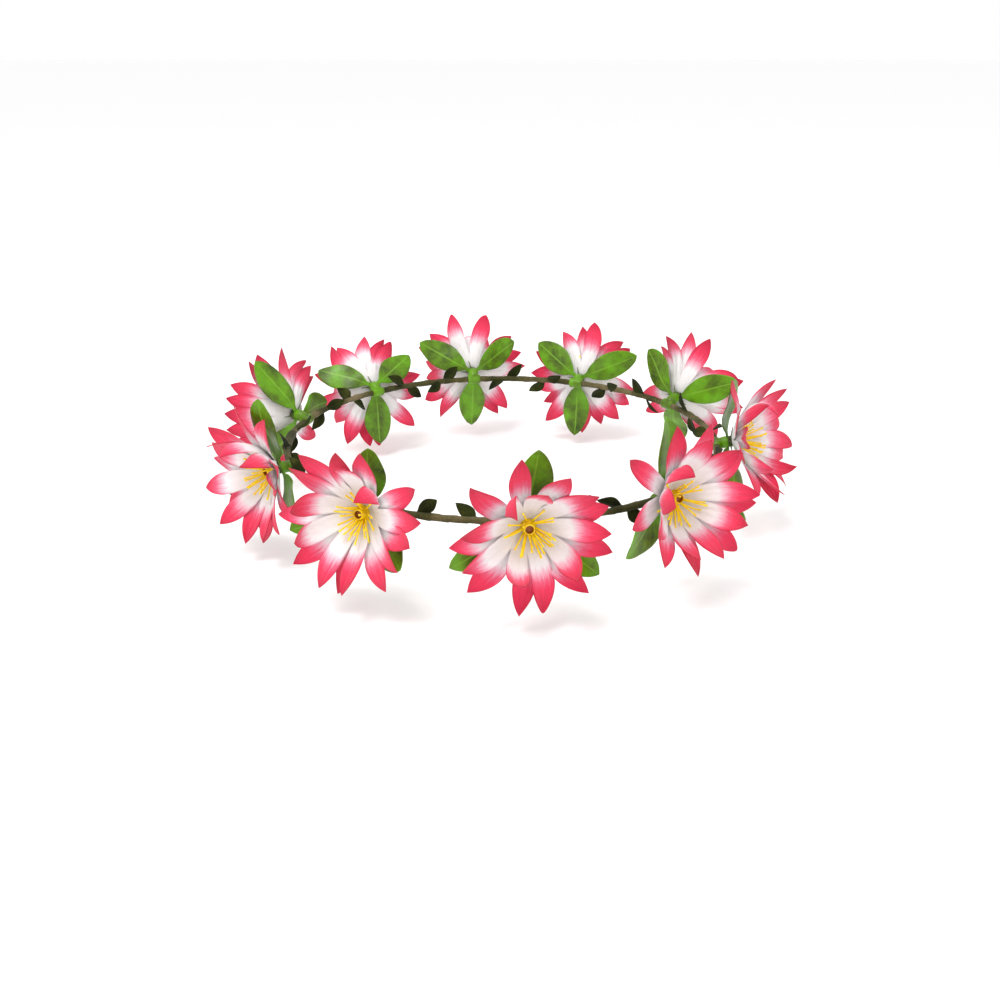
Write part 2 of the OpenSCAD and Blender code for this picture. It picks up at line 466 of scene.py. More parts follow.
def petal_points(angle, habit, slopes):
    """One petal's points in millimetres, as rows of points across it, and how far along each row is."""
    along = np.concatenate([np.linspace(HOLE, NOTCH, HUB_ROWS),
                            np.linspace(NOTCH, PETAL_LONG, ROWS - HUB_ROWS + 1)[1:]])
    fine = np.linspace(HOLE, PETAL_LONG, FINE_STEPS)
    free = np.clip((fine - NOTCH) / (PETAL_LONG - NOTCH), 0, 1)
    steep = np.interp(fine, SLOPE_PLACES, [0, 0, *slopes])
    steep = np.radians(steep + habit["pitch"] * ease(0, 0.35, free) + habit["curl"] * free ** habit["late"])
    step = np.gradient(fine)
    out = HOLE + np.concatenate([[0], np.cumsum((np.cos(steep) * step)[1:])])
    up = np.concatenate([[0], np.cumsum((np.sin(steep) * step)[1:])])
    rho, height, tilt = (np.interp(along, fine, line) for line in (out, up, steep))
    share = np.clip((along - NOTCH) / (PETAL_LONG - NOTCH), 0, 1)
    width = half_width(share, habit["wide"])
    notch_rho = np.interp(NOTCH, fine, out)

    rows = []
    for row in range(len(along)):
        if along[row] <= NOTCH + 1e-6:
            turn = angle + ACROSS * HALF_TURN
            rows.append(np.stack([rho[row] * np.cos(turn), rho[row] * np.sin(turn),
                                  np.full(len(ACROSS), height[row])], axis=1))
            continue
        free_share = share[row]
        roll = habit["twist"] * free_share
        side = ACROSS * width[row]
        bow = habit["cup"] * ease(0, 0.3, free_share) * (ACROSS ** 2) * width[row]
        crease = habit["crease"] * np.cos(3 * np.pi * ACROSS) * math.sin(math.pi * min(free_share, 0.97))
        lift = bow + crease
        across = side * math.cos(roll) - lift * math.sin(roll)
        proud = side * math.sin(roll) + lift * math.cos(roll)
        sag = notch_rho * (1 - np.cos(ACROSS * HALF_TURN)) * (1 - ease(0, 0.4, free_share))
        outward = rho[row] - sag - proud * math.sin(tilt[row])
        turn = angle + habit["yaw"] * free_share ** 1.5
        rows.append(np.stack([
            outward * math.cos(turn) - across * math.sin(turn),
            outward * math.sin(turn) + across * math.cos(turn),
            height[row] + proud * math.cos(tilt[row]),
        ], axis=1))
    return np.array(rows), along


# %% [markdown]
# ### Room to spin
#
# The head spins and the leaves behind it don't, so a cone is kept free between them. Petals that roll back
# stop short of it on one side, and leaves that curl up stop short on the other. Both are eased away from it
# over a short distance, so neither gets a hard fold.

# %% The cone between petals and leaves
PARTING_RISE = 0.36
PARTING_START = 4.5
PARTING_GAP = 0.45
EASING = 0.6


def soft_floor(value, floor):
    """The value, eased up so that it never sinks below the floor."""
    return floor + EASING * np.logaddexp(0, (value - floor) / EASING)


def parting(points):
    """Height of the cone at each point's distance from the axis, in millimetres."""
    return PARTING_RISE * (np.hypot(points[:, 0], points[:, 1]) - PARTING_START)


print("the cone between petals and leaves rises", round(math.degrees(math.atan(PARTING_RISE))), "degrees")


# %% [markdown]
# ### A layer of petals
#
# The nine petals are joined into one sheet, and every face gets its place on the map. The sheet's area is
# measured before it gets its thickness. The back layer is flatter and the front one stands up more, and they
# are turned apart so that the petals alternate.

# %% One layer of petals
CLOTH_THICK = 0.22 * MM
WELD = 0.02 * MM
MAP_MARGIN = 0.001


def petal_layer(name, slopes, lift, turned, chance, front):
    """A layer of petals in its flower's frame, in metres, with its map, and the area it was cut to."""
    openness = chance.gauss(0, 3)
    slopes = [slope + openness for slope in slopes]
    map_across = (ACROSS + 1) / 2 * (1 - 2 * MAP_MARGIN) + MAP_MARGIN
    vertices, faces, maps = [], [], []
    for petal in range(PETALS):
        angle = turned + petal * 2 * HALF_TURN
        habit = petal_habit(chance, front)
        if front:
            habit["curl"] += chance.uniform(10, 60) * max(0, math.sin(angle))
        rows, along = petal_points(angle, habit, slopes)
        start = len(vertices)
        count = len(ACROSS)
        vertices += [tuple(point) for row in rows for point in row]
        for row in range(len(along) - 1):
            for column in range(count - 1):
                corner = start + row * count + column
                faces.append((corner, corner + count, corner + count + 1, corner + 1))
                maps += [(petal + map_across[c], along[r] / PETAL_LONG) for r, c in (
                    (row, column), (row + 1, column), (row + 1, column + 1), (row, column + 1))]
    points = np.array(vertices) + [0, 0, lift]
    points[:, 2] = soft_floor(points[:, 2], parting(points) + PARTING_GAP + lift)
    mesh = bpy.data.meshes.new(name)
    mesh.from_pydata(points * MM, [], faces)
    layer = bpy.data.objects.new(name, mesh)
    bpy.context.scene.collection.objects.link(layer)
    mesh.uv_layers.new(name=PETAL_MAP).data.foreach_set("uv", np.array(maps, dtype=np.float32).ravel())
    pick_only(layer)
    bpy.ops.object.mode_set(mode="EDIT")
    bpy.ops.mesh.select_all(action="SELECT")
    bpy.ops.mesh.remove_doubles(threshold=WELD)
    bpy.ops.mesh.normals_make_consistent(inside=False)
    bpy.ops.object.mode_set(mode="OBJECT")
    area = sum(face.area for face in layer.data.polygons)
    finish_with(layer, [
        ("SUBSURF", {"levels": 1, "render_levels": 1}),
        ("SOLIDIFY", {"thickness": CLOTH_THICK, "offset": 0}),
    ])
    pick_only(layer)
    bpy.ops.object.shade_smooth()
    return layer, area


# %% Petals on every flower
BACK_SLOPES = (34, 32, 26, 14)
FRONT_SLOPES = (42, 41, 37, 24)

for order, flower in enumerate(FLOWERS):
    for kind, layer_name, slopes, lift, turned, satin in (
        ("outer", "back_petals", BACK_SLOPES, 0.25, 25, back_satin),
        ("inner", "front_petals", FRONT_SLOPES, 0.85, 45, front_satin),
    ):
        front = kind == "inner"
        layer, area = petal_layer(f"{layer_name}_{flower}", slopes, lift, math.radians(turned),
                                  random.Random(100 * order + 7 * front + 3), front)
        layer.data.materials.append(satin)
        put(layer, flower_place(flower))
        settle(layer, f"head_{flower}", f"petal_{kind}", f"petals_{kind}_{flower}")

# %% [markdown]
# ## Rods drawn out
#
# Filaments, sleeves and stems are all the same thing to a modeller: a short cylinder whose end face is
# pulled out step by step, made a little wider or narrower each time. A curve with a bevel would be quicker,
# but its thickness is harder to shape. So one helper adds the cylinder and does the extruding, and a second
# one bends a finished rod to follow a path.

# %% Drawing and bending a rod
def select_faces(piece, wanted):
    """Goes into edit mode with only the faces selected whose centre and normal pass a test."""
    pick_only(piece)
    bpy.ops.object.mode_set(mode="EDIT")
    bpy.ops.mesh.select_mode(type="FACE")
    bpy.ops.mesh.select_all(action="DESELECT")
    bpy.ops.object.mode_set(mode="OBJECT")
    for face in piece.data.polygons:
        face.select = wanted(face.center, face.normal)
    bpy.ops.object.mode_set(mode="EDIT")


def draw_rod(radius, steps, sides):
    """A closed rod up Z from the origin, in millimetres: each step is how far it goes and how it swells."""
    first = steps[0][0]
    bpy.ops.object.select_all(action="DESELECT")
    bpy.ops.mesh.primitive_cylinder_add(
        vertices=sides, radius=radius, depth=first, location=(0, 0, first / 2))
    rod = bpy.context.object
    bpy.ops.object.transform_apply(location=True, rotation=True, scale=True)
    select_faces(rod, lambda centre, normal: normal.z > 0.9)
    for rise, swell in steps[1:]:
        bpy.ops.mesh.extrude_region_move(TRANSFORM_OT_translate={"value": (0, 0, rise)})
        bpy.ops.transform.resize(value=(swell, swell, 1))
    bpy.ops.object.mode_set(mode="OBJECT")
    bpy.ops.object.shade_smooth()
    return rod


def bend_rod(rod, path):
    """Bends a rod in millimetres along a path of points in metres, from its foot to its tip."""
    points = points_of(rod)
    path = np.array([tuple(point) for point in path])
    share = points[:, 2] / points[:, 2].max() * (len(path) - 1)
    ahead = np.gradient(path, axis=0)
    ahead /= np.linalg.norm(ahead, axis=1)[:, None]
    sideways = np.cross(ahead, np.cross(ahead[0], path[-1] - path[0]) + 1e-9)
    sideways /= np.linalg.norm(sideways, axis=1)[:, None]
    third = np.cross(ahead, sideways)
    centre, side, other = (
        np.stack([np.interp(share, range(len(path)), line[:, axis]) for axis in range(3)], axis=1)
        for line in (path, sideways, third))
    set_points(rod, centre + (points[:, :1] * side + points[:, 1:2] * other) * MM)
    pick_only(rod)
    bpy.ops.object.mode_set(mode="EDIT")
    bpy.ops.mesh.select_all(action="SELECT")
    bpy.ops.mesh.normals_make_consistent(inside=False)
    bpy.ops.object.mode_set(mode="OBJECT")


# %% [markdown]
# ## Stamens
#
# One soft yellow moulding sits in each cup: a domed base, a short open tube in its middle and about twenty
# filaments round it. Shade is painted into its colour as amber: fully inside the tube, and more faintly low
# on the dome among the filament roots. A filament is modelled once and then copied with its own lean, bend
# and length. Packing has combed them to one side of each flower, so the copies are gathered towards a side
# too.

# %% Stamen material
yellow_plastic = Finish("stamen_plastic", 0.34, Specular_IOR_Level=0.3, Subsurface_Weight=0.2,
                        Subsurface_Scale=1.5 * MM, Coat_Weight=0.08)
cloudy = yellow_plastic.add("TexNoise", Vector=yellow_plastic.object_place(1), Scale=420, Detail=3).outputs[0]
# Painted shade: amber mixed into the yellow inside the tube and low among the filament roots, from the depth
# attribute.
painted_tube_shade = yellow_plastic.nodes.new("ShaderNodeAttribute")
painted_tube_shade.attribute_name = "depth"
bright = yellow_plastic.ramp(cloudy, [(0.35, swatch(250, 206, 4)), (0.65, swatch(255, 228, 40))])
yellow_plastic.colour(yellow_plastic.blend("MIX", painted_tube_shade.outputs["Fac"], bright, swatch(140, 72, 6)))
yellow_plastic.bump(cloudy, 0.25, 0.15 * MM)

# %% One filament
FILAMENT_STEPS = [(0.4, 1), (3.2, 0.84), (3.2, 0.9), (2.9, 0.98), (0.6, 1.5), (0.6, 0.6)]
FILAMENT_LONG = 10.9
FILAMENT_ROOT = 1.9
filament_master = draw_rod(0.42, FILAMENT_STEPS, 6)
print("filament faces:", len(filament_master.data.polygons))


def bent_filament(chance, lean, turn, start):
    """A copy that leaves the dome at a lean and bends a little further out or in."""
    one = copy_of(filament_master, "filament")
    points = points_of(one)
    share = points[:, 2] / FILAMENT_LONG
    points[:, 0] += chance.uniform(-1.4, 2.2) * share ** 2
    points[:, 1] += chance.gauss(0, 0.9) * share ** 2
    points[:, 2] *= chance.uniform(0.66, 1.04)
    set_points(one, points)
    put(one, Matrix.Rotation(turn, 4, "Z") @ Matrix.Translation((start, 0, FILAMENT_ROOT))
        @ Matrix.Rotation(lean, 4, "Y"))
    return one


# %% The dome and its tube
DOME_STEPS = [(0.4, 1), (0.75, 0.93), (0.7, 0.84), (0.4, 0.87), (0.4, 0.95), (1.05, 1), (0.25, 0.93)]
DOME_FOOT = 0.75


def model_dome():
    """The domed base in millimetres: a disc drawn up into a tube, bored from above and from below."""
    dome = draw_rod(3.0, DOME_STEPS, 28)
    put(dome, Matrix.Translation((0, 0, DOME_FOOT)))
    select_faces(dome, lambda centre, normal: normal.z > 0.9 and centre.z > 4)
    bpy.ops.mesh.inset(thickness=0.3)
    bpy.ops.mesh.extrude_region_move(TRANSFORM_OT_translate={"value": (0, 0, -0.5)})
    bpy.ops.transform.resize(value=(0.86, 0.86, 1))
    bpy.ops.mesh.extrude_region_move(TRANSFORM_OT_translate={"value": (0, 0, -0.6)})
    bpy.ops.object.mode_set(mode="OBJECT")
    select_faces(dome, lambda centre, normal: normal.z < -0.9 and centre.z < 1)
    bpy.ops.mesh.inset(thickness=1.5)
    bpy.ops.mesh.extrude_region_move(TRANSFORM_OT_translate={"value": (0, 0, 2.7)})
    bpy.ops.object.mode_set(mode="OBJECT")
    bpy.ops.object.shade_smooth_by_angle(angle=math.radians(50))
    return dome


def mark_painted_shade(piece):
    """Stores painted shade at each point, for the material: 1 inside the tube, up to 0.4 low round the
    filament roots.
    """
    points = points_of(piece)
    radius = np.hypot(points[:, 0], points[:, 1])
    # Painted shade: full inside the tube, up to 0.4 low on the dome among the filament roots.
    inside = np.clip((1.75 - radius) / 0.4, 0, 1) * (points[:, 2] < 5)
    near_root = 0.4 * np.clip(1 - (points[:, 2] - 1.5) / 3, 0, 1) * (radius < 3.6)
    layer = piece.data.attributes.new("depth", "FLOAT", "POINT")
    layer.data.foreach_set("value", np.clip(np.maximum(inside, near_root), 0, 1).astype(np.float32))


dome_master = model_dome()
print("dome height:", round(points_of(dome_master)[:, 2].max(), 2), "mm")

# %% Stamens on every flower
RINGS = ((13, math.radians(46), 2.1), (9, math.radians(25), 1.7))
COMBED = 0.5

for order, flower in enumerate(FLOWERS):
    chance = random.Random(900 + order)
    combed_to = chance.gauss(-math.pi / 2, 0.7)
    parts = [copy_of(dome_master, "dome_part")]
    for count, lean, start in RINGS:
        for place in range(count):
            turn = math.tau * (place + chance.uniform(-0.3, 0.3)) / count
            turn += COMBED * math.sin(combed_to - turn)
            parts.append(bent_filament(chance, lean + chance.gauss(0, 0.16), turn, start))
    stamens = join(parts, f"stamens_cluster_{flower}")
    mark_painted_shade(stamens)
    stamens.data.materials.clear()
    stamens.data.materials.append(yellow_plastic.material)
    put(stamens, flower_place(flower) @ Matrix.Scale(MM, 4))
    settle(stamens, f"head_{flower}", "stamen", f"stamens_{flower}")
drop(filament_master)
drop(dome_master)
print("stamens:", len(FLOWERS), "with", sum(ring[0] for ring in RINGS), "filaments each")

# %% [markdown]
# ## Leaf sprays
#
# A spray is moulded in one piece from soft green plastic: three broad leaves, a short stem and a sleeve
# that goes round the vine. The mould gives the leaves a midrib and pairs of side veins, and the colour
# drifts from yellow green to olive, with darker blotches.

# %% Leaf material
PAIRS_OF_VEINS = 8
VEIN_SLANT = 2.4
leaf_plastic = Finish("leaf_plastic", 0.36, Specular_IOR_Level=0.3, Coat_Weight=0.05, Coat_Roughness=0.25,
                      Subsurface_Weight=0.08, Subsurface_Scale=1 * MM)
leaf_map = leaf_plastic.nodes.new("ShaderNodeUVMap")
leaf_map.uv_map = "leaf_map"
leaf_split = leaf_plastic.add("SeparateXYZ", Vector=leaf_map.outputs[0])
leaf_across = leaf_plastic.maths("MULTIPLY", leaf_plastic.maths(
    "ABSOLUTE", leaf_plastic.maths("SUBTRACT", leaf_split.outputs[0], 0.5)), 2)
leaf_place = leaf_plastic.object_place(1)
blotches = leaf_plastic.add("TexNoise", Vector=leaf_place, Scale=90, Detail=4, Roughness=0.6).outputs[0]
fine_grain = leaf_plastic.add("TexNoise", Vector=leaf_place, Scale=650, Detail=3).outputs[0]
green = leaf_plastic.ramp(blotches, [
    (0.3, swatch(44, 68, 0)), (0.44, swatch(76, 106, 0)),
    (0.56, swatch(90, 140, 0)), (0.72, swatch(102, 164, 12)),
])
vein_phase = leaf_plastic.maths(
    "SUBTRACT", leaf_plastic.maths("MULTIPLY", leaf_split.outputs[1], PAIRS_OF_VEINS),
    leaf_plastic.maths("MULTIPLY", leaf_across, VEIN_SLANT))
vein_line = leaf_plastic.maths("LESS_THAN", leaf_plastic.maths("FRACT", vein_phase), 0.1)
mid_line = leaf_plastic.maths("LESS_THAN", leaf_across, 0.06)
veins = leaf_plastic.maths("MAXIMUM", leaf_plastic.maths("MULTIPLY", vein_line, 0.35), mid_line)
vein_share = leaf_plastic.maths("MULTIPLY", veins, 0.6)
leaf_plastic.colour(leaf_plastic.blend("MIX", vein_share, green, swatch(122, 172, 44)))
leaf_relief = leaf_plastic.maths("SUBTRACT", leaf_plastic.maths("MULTIPLY", fine_grain, 0.4), veins)
leaf_plastic.bump(leaf_relief, 0.8, 0.3 * MM)
print("leaf finish:", leaf_plastic.material.name)

# %% [markdown]
# ### A leaf drawn out from its stalk
#
# A leaf could be cut from a plane along an outline, but then its faces would not run with its veins. Here a
# narrow strip of eight faces starts at the stalk, and its far edge is extruded forward again and again, and
# made wider or narrower each time. The rows of faces follow the leaf, so the midrib and the side veins are
# pressed in by moving whole rows. The same helper makes the small dark leaves further on.

# %% Growing a leaf
LEAF_COLUMNS = 8


def grow_leaf(long, steps):
    """A flat leaf from the origin along X, in millimetres, with its map. Steps: (share along, half width)."""
    bpy.ops.object.select_all(action="DESELECT")
    bpy.ops.mesh.primitive_grid_add(x_subdivisions=1, y_subdivisions=LEAF_COLUMNS, size=2)
    leaf = bpy.context.object
    half = steps[0][1]
    put(leaf, Matrix.Diagonal((steps[0][0] * long / 2, half, 1, 1)) @ Matrix.Translation((1, 0, 0)))
    bpy.ops.object.mode_set(mode="EDIT")
    bpy.ops.mesh.select_mode(type="EDGE")
    bpy.ops.mesh.select_all(action="DESELECT")
    bpy.ops.object.mode_set(mode="OBJECT")
    far = max(vertex.co.x for vertex in leaf.data.vertices) - 0.001
    for edge in leaf.data.edges:
        edge.select = all(leaf.data.vertices[end].co.x > far for end in edge.vertices)
    bpy.ops.object.mode_set(mode="EDIT")
    for (before, width), (share, next_width) in zip(steps, steps[1:]):
        bpy.ops.mesh.extrude_region_move(TRANSFORM_OT_translate={"value": ((share - before) * long, 0, 0)})
        bpy.ops.transform.resize(value=(1, next_width / width, 1))
    bpy.ops.object.mode_set(mode="OBJECT")
    if leaf.data.uv_layers:
        leaf.data.uv_layers.remove(leaf.data.uv_layers[0])
    leaf_uv = leaf.data.uv_layers.new(name="leaf_map")
    rows = dict((round(share * long, 2), width) for share, width in [(0, half), *steps])
    for loop in leaf.data.loops:
        spot = leaf.data.vertices[loop.vertex_index].co
        width = rows[min(rows, key=lambda row: abs(row - spot.x))]
        leaf_uv.data[loop.index].uv = (0.5 + spot.y / width * 0.49, spot.x / long)
    return leaf


# %% The broad green leaf
LEAF_LONG = 30
LEAF_WIDE = 13.4
LEAF_STEPS = 20
STALK_SHARE = 0.12


def blade_half_width(share):
    """Half the width of the broad leaf: a thin stalk, a full middle and a blunt tip."""
    blade = max(0.0, (share - STALK_SHARE) / (1 - STALK_SHARE))
    full = math.sin(math.pi * blade ** 0.95) ** 0.62
    return 0.95 * (1 - ease(0.08, 0.3, share)) + LEAF_WIDE / 2 * full + 0.05


shares = [step / LEAF_STEPS for step in range(1, LEAF_STEPS + 1)]
leaf_master = grow_leaf(LEAF_LONG, [(share, blade_half_width(share)) for share in shares])
print("broad leaf:", len(leaf_master.data.polygons), "faces")

# %% [markdown]
# ### A leaf, pressed and bent
#
# Each copy is pressed along its ribs, then folded a little along the midrib, waved, curled and rolled by
# seeded chance. Its stalk stays on the origin, so that it can be turned into place round the flower's axis.

# %% Shape a leaf
BEND_STEPS = 200


def shaped_leaf(chance):
    """A copy pressed along its ribs, then bent as it has set, with its stalk on the origin."""
    leaf = copy_of(leaf_master, "leaf")
    points = points_of(leaf)
    share = points[:, 0] / LEAF_LONG
    side = points[:, 1] / (LEAF_WIDE / 2)
    blade = ease(0.15, 0.4, share)
    veins_along = math.tau * (share * PAIRS_OF_VEINS - np.abs(side) * VEIN_SLANT)
    veined = 0.2 * np.sin(veins_along) * np.minimum(np.abs(side), 0.6) * blade
    fold = chance.uniform(0.3, 1.6) * np.abs(side) ** 1.3 * blade
    wave = chance.uniform(0.2, 0.9) * np.sin(share * 7 + chance.uniform(0, 6)) * np.abs(side) * np.sign(side)
    curl = math.radians(chance.uniform(-45, 30))
    roll = math.radians(chance.gauss(0, 20))
    lift = veined + fold + wave * blade

    def steepness(place):
        return np.radians(8 + 22 * ease(0.05, 0.5, place)) + curl * place ** 2

    fine = np.linspace(0, 1, BEND_STEPS)
    out = np.interp(share, fine, np.cumsum(np.cos(steepness(fine))) / BEND_STEPS * LEAF_LONG)
    up = np.interp(share, fine, np.cumsum(np.sin(steepness(fine))) / BEND_STEPS * LEAF_LONG)
    turned = roll * share
    across = points[:, 1] * np.cos(turned) - lift * np.sin(turned)
    proud = points[:, 1] * np.sin(turned) + lift * np.cos(turned)
    steep = steepness(share)
    set_points(leaf, np.stack([out - proud * np.sin(steep), across, up + proud * np.cos(steep)], axis=1))
    return leaf


# %% [markdown]
# ### The sleeve and the stem
#
# On the crown the sleeve has a bore, and the spray turns on the vine inside it. Here the sleeve is a closed
# rod and the vine runs straight through it: the bore is out of sight, so this stands in for it. The stem
# leaves the sleeve, turns at an elbow behind the flower, and ends behind the calyx. It could be a curve with
# a bevel, but a rod bent along a path keeps the swelling of the moulded stem.

# %% Sleeve and stem
SLEEVE_STEPS = [(0.25, 1), (0.5, 1.14), (1.1, 0.95), (1.2, 1.06), (1.2, 0.95), (1.0, 1.05), (0.5, 0.99),
                (0.25, 0.87)]
SLEEVE_LONG = 6
STEM_STEPS = [(0.5, 1)] + [(0.5, 1.02)] * 5 + [(0.5, 0.98)] * 5
PATH_STEPS = 12
ELBOW_BACK = 4.5 * MM
NECK_BACK = 1.7 * MM


def spray_hub(flower):
    """The sleeve on the vine, and the stem that rises from it, turns, and ends behind the calyx."""
    on_vine = vine_place(flower)
    head = flower_place(flower)
    sleeve = draw_rod(2.05, SLEEVE_STEPS, 20)
    put(sleeve, on_vine @ Matrix.Scale(MM, 4) @ Matrix.Rotation(math.pi / 2, 4, "Y")
        @ Matrix.Translation((0, 0, -SLEEVE_LONG / 2)))
    elbow = head @ Vector((0, 0, -ELBOW_BACK))
    foot = on_vine.translation.lerp(elbow, 0.3)
    neck = head @ Vector((0, 0, -NECK_BACK))
    path = [foot.lerp(elbow, share).lerp(elbow.lerp(neck, share), share)
            for share in (step / PATH_STEPS for step in range(PATH_STEPS + 1))]
    stem = draw_rod(2.25, STEM_STEPS, 20)
    bend_rod(stem, path)
    return [sleeve, stem]


def leaf_turns(flower):
    """The turns of the three leaves round the flower's axis, from the tips of the frame's own leaves."""
    inverse = flower_place(flower).inverted()
    spray_mesh = frame["nodes"][f"leaf_spray_{flower}"].data
    points = np.array([inverse @ vertex.co for vertex in spray_mesh.vertices])
    tip = points[np.argmax(np.hypot(points[:, 0], points[:, 1]))]
    first = math.atan2(tip[1], tip[0])
    return [first + math.tau * leaf / 3 for leaf in range(3)]


# %% Leaf sprays on every flower
STALK_FOOT = (1.2, 0, -2.4)
LEAF_THICK = 0.4 * MM

for order, flower in enumerate(FLOWERS):
    chance = random.Random(300 + order)
    parts = []
    for turn in leaf_turns(flower):
        leaf = shaped_leaf(chance)
        tilt = Matrix.Rotation(-chance.uniform(-4, 6) * math.pi / 180, 4, "Y")
        put(leaf, Matrix.Rotation(turn, 4, "Z") @ Matrix.Translation(STALK_FOOT) @ tilt)
        points = points_of(leaf)
        points[:, 2] = -soft_floor(-points[:, 2], PARTING_GAP - parting(points))
        set_points(leaf, points)
        put(leaf, flower_place(flower) @ Matrix.Scale(MM, 4))
        finish_with(leaf, [
            ("SOLIDIFY", {"thickness": LEAF_THICK, "offset": 0}),
            ("SUBSURF", {"levels": 1, "render_levels": 1}),
        ])
        pick_only(leaf)
        bpy.ops.object.shade_smooth()
        parts.append(leaf)
    spray = join(parts + spray_hub(flower), f"leaf_sprig_{flower}")
    spray.data.materials.clear()
    spray.data.materials.append(leaf_plastic.material)
    settle(spray, f"spray_{flower}", "green_leaf", f"leaf_spray_{flower}")
drop(leaf_master)
print("leaf sprays:", len(FLOWERS))

# %% [markdown]
# ## Calyxes
#
# The little spiky peg behind the petals keeps its shape from the frame, because its post has to fit its
# socket. Only its finish is made here: a matt dark green with lighter blotches.

# %% Calyx material
calyx_plastic = Finish("calyx_plastic", 0.6)
calyx_place = calyx_plastic.object_place(1)
calyx_spots = calyx_plastic.add("TexNoise", Vector=calyx_place, Scale=380, Detail=4).outputs[0]
calyx_tone = calyx_plastic.ramp(calyx_spots, [(0.3, swatch(44, 60, 14)), (0.7, swatch(86, 108, 34))])
calyx_plastic.colour(calyx_tone)
calyx_plastic.bump(calyx_spots, 0.4, 0.2 * MM)


def refinish(node, material):
    """Gives a node of the frame a better material, and leaves its shape alone."""
    frame["nodes"][node].data.materials.clear()
    frame["nodes"][node].data.materials.append(material)


for flower in FLOWERS:
    refinish(f"calyx_{flower}", calyx_plastic.material)
print("calyxes refinished:", len(FLOWERS))

# %% [markdown]
# ## The vine
#
# The vine is a wire wound with floral tape, which overlaps itself in a long spiral and is thicker in some
# places than in others. A torus has the right body, but Blender allows it 256 slices at most, which is only
# three for each turn of tape. So it is subdivided, and its points are set on a round section again. Each turn
# of tape ends in a small step: the points are pushed out along a spiral, slowly at first and most at the lap.

# %% Vine material
vine_tape = Finish("vine_tape", 0.8, Specular_IOR_Level=0.15, Sheen_Weight=0.05)
vine_space = vine_tape.object_place(1)
fibres = vine_tape.add("TexNoise", Vector=vine_space, Scale=900, Detail=5, Roughness=0.7).outputs[0]
patches = vine_tape.add("TexNoise", Vector=vine_space, Scale=60, Detail=3).outputs[0]
vine_tone = vine_tape.ramp(patches, [
    (0.35, swatch(50, 52, 24)), (0.5, swatch(78, 76, 42)), (0.7, swatch(134, 120, 90)),
])
vine_tape.colour(vine_tape.blend("MULTIPLY", 0.6, vine_tone, vine_tape.ramp(
    fibres, [(0.3, swatch(120, 116, 96)), (0.7, swatch(255, 252, 240))])))
vine_tape.bump(fibres, 0.8, 0.3 * MM)

# %% The taped vine
LAPS = 84
LAP_STEP = 0.2
TAPE_RADIUS = 1.24
RING_SLICES = 256
EXTRA_CUTS = 4
bpy.ops.object.select_all(action="DESELECT")
bpy.ops.mesh.primitive_torus_add(
    major_segments=RING_SLICES, minor_segments=6, major_radius=HOOP_RADIUS, minor_radius=TAPE_RADIUS * MM)
vine = bpy.context.object
bpy.ops.object.mode_set(mode="EDIT")
bpy.ops.mesh.select_all(action="SELECT")
bpy.ops.mesh.subdivide(number_cuts=EXTRA_CUTS)
bpy.ops.object.mode_set(mode="OBJECT")
spots = points_of(vine)
azimuth = np.arctan2(spots[:, 1], spots[:, 0])
middle = np.stack([np.cos(azimuth), np.sin(azimuth), 0 * azimuth], axis=1) * HOOP_RADIUS
outward = (spots - middle) / np.linalg.norm(spots - middle, axis=1)[:, None]
round_vine = np.arctan2(outward[:, 2], (outward * middle).sum(axis=1) / HOOP_RADIUS)
lap = (LAPS * azimuth + round_vine) / math.tau % 1
bulk = 0.07 * np.sin(azimuth * 23) + 0.05 * np.sin(azimuth * 57 + 1)
set_points(vine, middle + outward * ((TAPE_RADIUS + LAP_STEP * lap ** 1.5 + bulk)[:, None] * MM))
pick_only(vine)
bpy.ops.object.shade_smooth()
vine = join([vine], "vine_twist")
vine.data.materials.append(vine_tape.material)
settle(vine, "hoop", "vine_wrap", "vine_wrap")
refinish("seam_tape", vine_tape.material)
print("vine faces:", len(vine.data.polygons))

# %% [markdown]
# ## The wire and its splice
#
# Both sit inside the tape and keep their shape from the frame. The wire is drawn steel with a fine bright
# grain, and the splice is a softer, duller aluminium sleeve with the bruises of the crimping tool.

# %% Wire and splice materials
steel = Finish("wire_steel", 0.3, Metallic=1.0)
drawn = steel.add("TexNoise", Vector=steel.object_place(1), Scale=1800, Detail=3).outputs[0]
steel.colour(steel.ramp(drawn, [(0.3, swatch(120, 122, 126)), (0.7, swatch(176, 178, 182))]))
steel.bump(drawn, 0.2, 0.05 * MM)
aluminium = Finish("splice_aluminium", 0.48, Metallic=1.0)
bruised = aluminium.add("TexNoise", Vector=aluminium.object_place(1), Scale=520, Detail=4).outputs[0]
aluminium.colour(aluminium.ramp(bruised, [(0.3, swatch(150, 151, 154)), (0.7, swatch(206, 207, 210))]))
aluminium.bump(bruised, 0.4, 0.1 * MM)
refinish("hoop_wire", steel.material)
refinish("wire_splice", aluminium.material)
print("metals:", steel.material.name, aluminium.material.name)

# %% [markdown]
# ## Trim leaves
#
# The small dark leaves come on a ribbon that is wound round the vine. They are velvet, nearly black green
# in the shade with a soft bloom at their edges. The frame holds each pair as plain blades, one each way
# along the vine, so the tips are found there and a cupped leaf on a thin stalk is laid between vine and tip.

